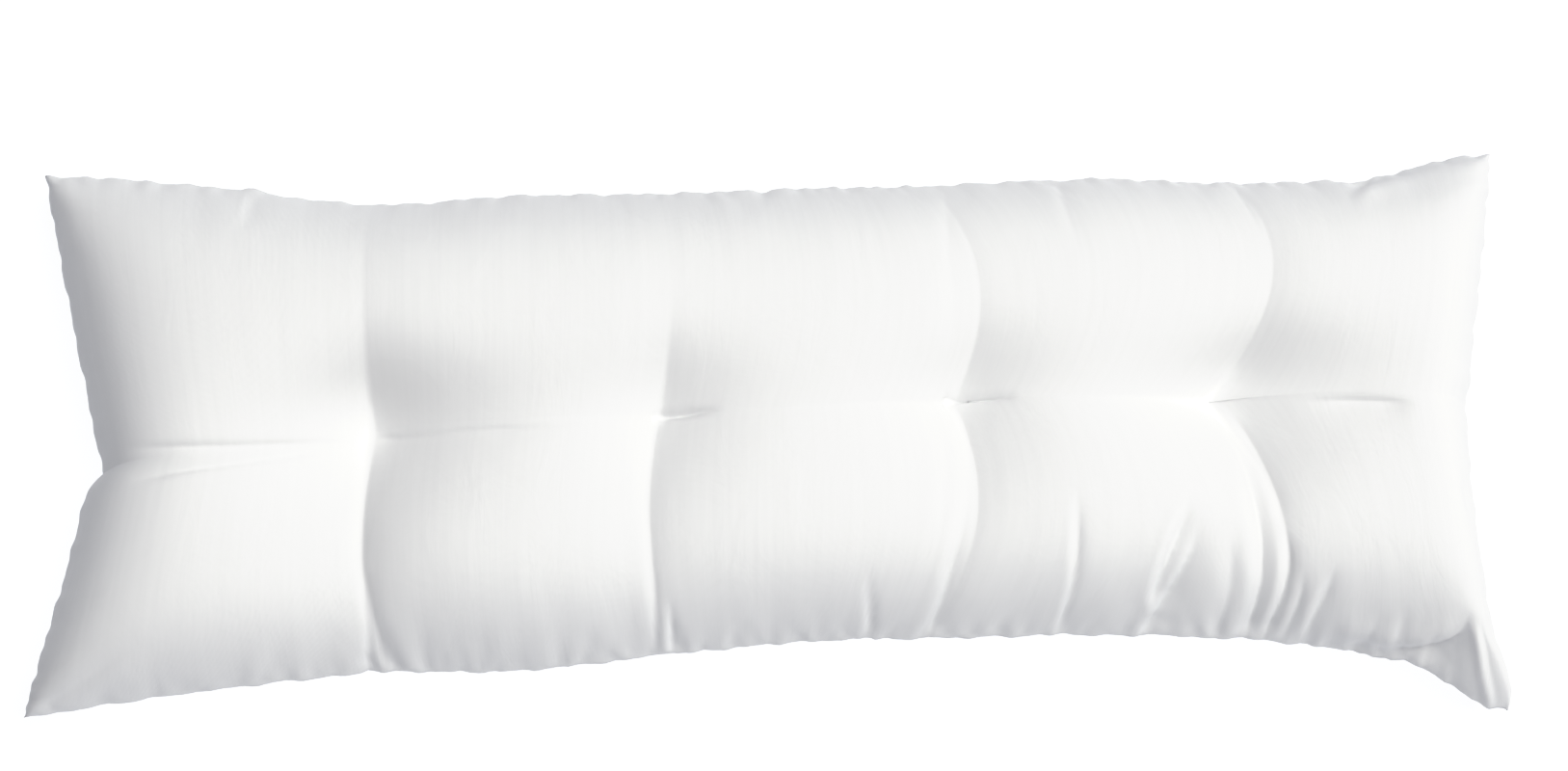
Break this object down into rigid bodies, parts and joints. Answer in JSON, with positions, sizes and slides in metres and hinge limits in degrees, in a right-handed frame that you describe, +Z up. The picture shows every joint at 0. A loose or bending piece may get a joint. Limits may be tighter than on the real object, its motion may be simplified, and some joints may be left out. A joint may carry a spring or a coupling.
{
  "type": "body pillow",
  "caption": "Long rectangular body pillow of white cotton, filled with fibre and tacked through along its middle into soft puffs, lying on its back.",
  "frame": {"origin": "on the surface that the pillow lies on, under the middle of its box", "axes": "+X along the pillow's length, +Y across its width, +Z up out of its upper face"},
  "size_m": [1.3374, 0.518, 0.1828],
  "materials": {
    "white_cotton": "plain-woven white cotton, matt"
  },
  "bodies": {
    "root": {"pillow": "white_cotton"}
  },
  "joints": []
}
